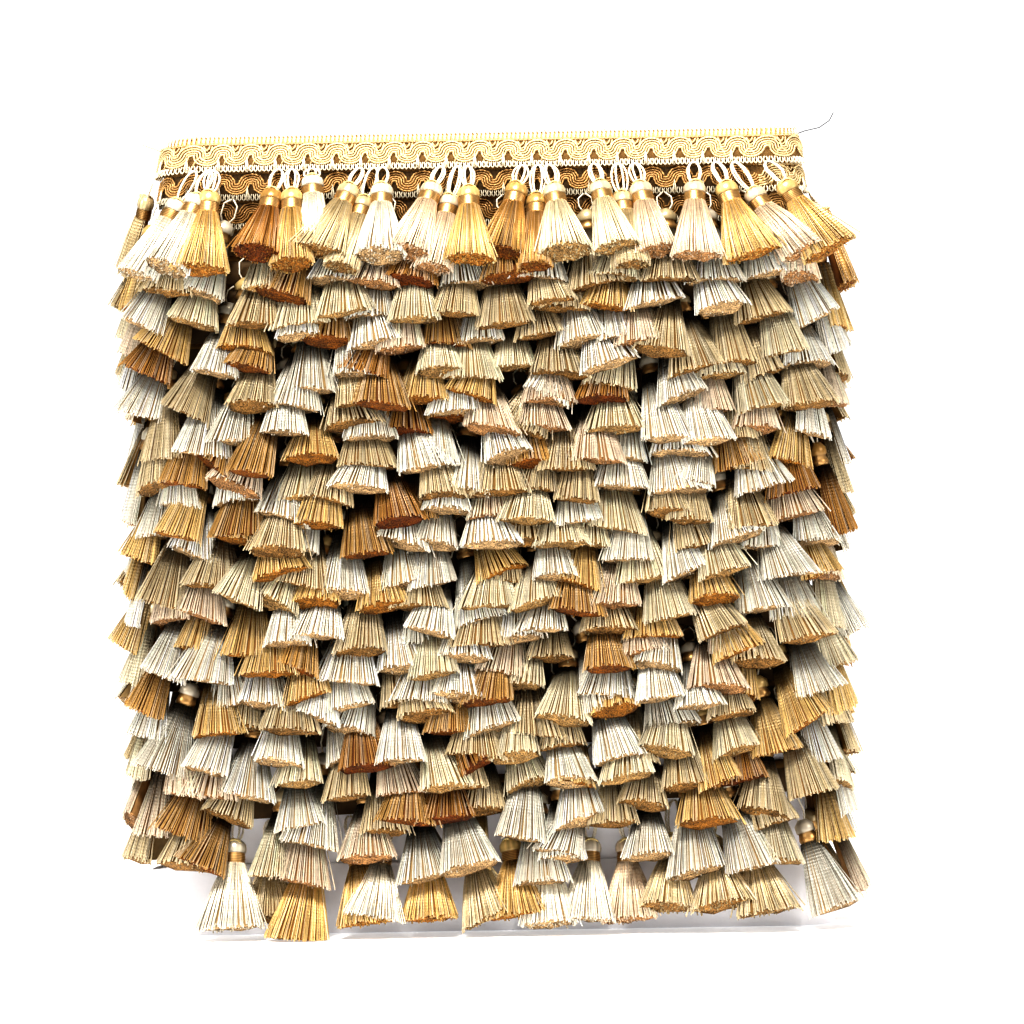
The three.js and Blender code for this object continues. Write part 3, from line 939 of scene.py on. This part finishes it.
class TRIM_OT_braid(bpy.types.Operator):
    """Build the gimp braid: ground, scroll, edge stitches, loops and loose threads"""

    bl_idname = "trim.braid"
    bl_label = "Gimp braid"

    def execute(self, context):
        settings = context.scene.trim_braid
        pitch = settings.stitch / MM
        cord, loop = np.array(settings.cord), np.array(settings.loop)
        pile = Pile()
        top, end = ROWS - 1, LAST_TURN - 1 / LAP
        ribbon(pile, settings.ground)
        scroll(pile, top, end, 18, 5, (1.0, 1.0, 1.0), settings)
        # The two turns below are painted darker and warmer: painted shade under the tassels above.
        scroll(pile, top - 1, top, 12, 4, (0.72, 0.55, 0.38), settings)
        scroll(pile, top - 2, top - 1, 10, 3, (0.55, 0.38, 0.22), settings)
        rib = [(0.15, 3.6, 1.1), (-0.1, 2.7, 1.5), (0.1, 1.4, 1.5), (0, 0.5, 1.2)]
        stitches(pile, top, end, rib, pitch, 0.56, 5, loop * 0.88)
        knot = [(-0.5, 0.9, 1.5), (-0.2, 0.1, 1.6), (0.35, -0.1, 1.4), (0.6, 0.7, 1.3)]
        stitches(pile, top, end, knot, pitch, 0.36, 4, loop)
        line = [(-0.9, 3.75, 1.5), (0, 3.6, 1.8), (0.9, 3.9, 1.5)]
        stitches(pile, top, end, line, pitch, 0.28, 4, cord * 0.8)
        drop = [(-0.3, 12.3, 1.2), (-0.6, 13.5, 1.5), (-0.5, 14.5, 1.5), (0, 15.0, 1.4)]
        drop += [(-along, down, proud - 0.1) for along, down, proud in drop[2::-1]]
        stitches(pile, top, end, drop, pitch, 0.3, 4, loop)
        # The loops of the two turns below are painted darker: painted shade.
        stitches(pile, top - 2, top, drop, pitch, 0.32, 3, loop * 0.6)
        tall = [(-0.35, 14.6, 1.8), (-0.3, 12.0, 2.1), (0, 9.2, 2.0), (0.3, 12.0, 2.1), (0.4, 14.6, 1.8)]
        wave = settings.wave / MM
        for half, upper in ((2.3, 7.6), (1.2, 6.2)):
            nest = [(-half, 4.3, 1.3), (-0.7 * half, upper - 0.9, 1.6), (0, upper, 1.7)]
            nest += [(-along, down, proud) for along, down, proud in nest[1::-1]]
            stitches(pile, top + wave / LAP, end, nest, wave, 0.36, 4, cord * 0.9)
        arch = [(-2.3, 12.2, 1.2), (-1.4, 10.0, 1.5), (0, 8.9, 1.6), (1.4, 10.0, 1.5), (2.3, 12.2, 1.2)]
        stitches(pile, top + wave / 2 / LAP, end, arch, wave, 0.36, 4, cord)
        stitches(pile, top + wave / 2 / LAP, ROWS, tall, wave, 0.36, 4, loop)
        # The next turn down is painted a little darker: painted shade.
        stitches(pile, top - 1 + wave / 2 / LAP, top, tall, wave, 0.36, 3, loop * 0.9)
        self.loose_threads(pile, cord, settings.stray)
        pile.piece("gimp_braid", yarn_finish("braid_yarn", 1.5, 0.12), "braid", ["gimp_heading"])
        return {"FINISHED"}

    def loose_threads(self, pile, cord, stray):
        """The threads that stand out at the cut end and at the left bend."""
        left = [(-124.5, -3, 309.5), (-129.6, -4, 312.4), (-133, -5, 313.4), (-136, -6, 314.6)]
        right = [(124.4, -3, 314.0), (129, -4, 315.6), (134.9, -5, 316.8)]
        right += [(138.9, -5, 319.5), (140.6, -5, 322.7)]
        tubes(pile, np.array([left], float), 0.2, 4, (0, -1, 0), cord, LOOSE_THREAD)
        tubes(pile, np.array([right], float), 0.2, 4, (0, -1, 0), np.array(stray), LOOSE_THREAD)


class TRIM_OT_tassels(bpy.types.Operator):
    """Build the tassels, one piece for each turn of the trim"""

    bl_idname = "trim.tassels"
    bl_label = "Tassels"

    def execute(self, context):
        settings = context.scene.trim_tassels
        rayon = yarn_finish("tassel_rayon", 1.3, 0.10)
        for row in range(1, ROWS + 1):
            rng = np.random.default_rng(settings.seed * 100 + row)
            pile = Pile()
            if row == ROWS:
                for tassel in top_tassels(rng, settings):
                    whole_tassel(pile, tassel, settings)
            else:
                make = whole_tassel if row == 1 else covered_tassel
                for tassel in lower_tassels(row, rng, settings):
                    make(pile, tassel, settings)
            pile.piece(f"tassels_{row:02d}", rayon, "tassels", [f"tassel_row_{row:02d}"])
        return {"FINISHED"}


class TRIM_OT_stage(bpy.types.Operator):
    """Set up the floor, the soft light and the camera"""

    bl_idname = "trim.stage"
    bl_label = "Stage"

    def execute(self, context):
        scene = context.scene
        settings = scene.trim_stage
        mesh = bpy.data.meshes.new("floor")
        sheet = bmesh.new()
        bmesh.ops.create_grid(sheet, x_segments=1, y_segments=1, size=1.1)
        sheet.to_mesh(mesh)
        sheet.free()
        mesh.materials.append(floor_finish("pale_floor", settings.floor, settings.glow))
        floor = bpy.data.objects.new("floor", mesh)
        scene.collection.objects.link(floor)
        for lamp in LAMPS:
            self.light(*lamp)
        self.sky(scene, settings.ambient)
        scene.view_settings.view_transform = "Standard"
        scene.view_settings.look = "High Contrast"
        lens = bpy.data.cameras.new("camera")
        lens.lens = settings.lens
        lens.sensor_width = 36
        lens.clip_end = 50
        camera = bpy.data.objects.new("camera", lens)
        camera.location = (CAMERA_ASIDE, -settings.distance, CAMERA_HEIGHT)
        camera.rotation_euler = Euler((math.radians(90), math.radians(CAMERA_ROLL), 0))
        scene.collection.objects.link(camera)
        scene.camera = camera
        return {"FINISHED"}

    def sky(self, scene, ambient):
        """A white backdrop for the camera, which lights the object less than it shows."""
        world = bpy.data.worlds.new("studio")
        world.use_nodes = True
        nodes, links = world.node_tree.nodes, world.node_tree.links
        seen = nodes.new("ShaderNodeLightPath").outputs["Is Camera Ray"]
        strength = nodes.new("ShaderNodeMapRange")
        strength.inputs["To Min"].default_value = ambient
        strength.inputs["To Max"].default_value = 1.0
        links.new(seen, strength.inputs["Value"])
        links.new(strength.outputs["Result"], nodes["Background"].inputs["Strength"])
        nodes["Background"].inputs["Color"].default_value = (1, 1, 1, 1)
        scene.world = world

    def light(self, name, place, size, power):
        lamp = bpy.data.lights.new(name, "AREA")
        lamp.shape = "SQUARE"
        lamp.size = size
        lamp.energy = power
        lamp.color = LAMP_COLOUR
        lamp_object = bpy.data.objects.new(name, lamp)
        lamp_object.location = place
        aim = LAMP_AIM - Vector(place)
        lamp_object.rotation_euler = aim.to_track_quat("-Z", "Y").to_euler()
        bpy.context.scene.collection.objects.link(lamp_object)


class TRIM_PT_panel(bpy.types.Panel):
    """The trim's pieces and their settings"""

    bl_idname = "TRIM_PT_panel"
    bl_label = "Tassel fringe trim"
    bl_space_type = "VIEW_3D"
    bl_region_type = "UI"
    bl_category = "Trim"

    def draw(self, context):
        for holder, operator in PARTS.items():
            settings = getattr(context.scene, holder)
            box = self.layout.box()
            for name in settings.__annotations__:
                box.prop(settings, name)
            box.operator(operator.bl_idname)


GROUPS = {
    "trim_card": CardSettings,
    "trim_braid": BraidSettings,
    "trim_tassels": TasselSettings,
    "trim_stage": StageSettings,
}
PARTS = {
    "trim_card": TRIM_OT_card,
    "trim_braid": TRIM_OT_braid,
    "trim_tassels": TRIM_OT_tassels,
    "trim_stage": TRIM_OT_stage,
}


def register():
    for kind in (*GROUPS.values(), *PARTS.values(), TRIM_PT_panel):
        bpy.utils.register_class(kind)
    for holder, group in GROUPS.items():
        setattr(bpy.types.Scene, holder, PointerProperty(type=group))


def unregister():
    for holder in GROUPS:
        delattr(bpy.types.Scene, holder)
    for kind in (TRIM_PT_panel, *PARTS.values(), *GROUPS.values()):
        bpy.utils.unregister_class(kind)


def main():
    register()
    bpy.ops.trim.card()
    bpy.ops.trim.braid()
    bpy.ops.trim.tassels()
    bpy.ops.trim.stage()


if __name__ == "__main__":
    main()
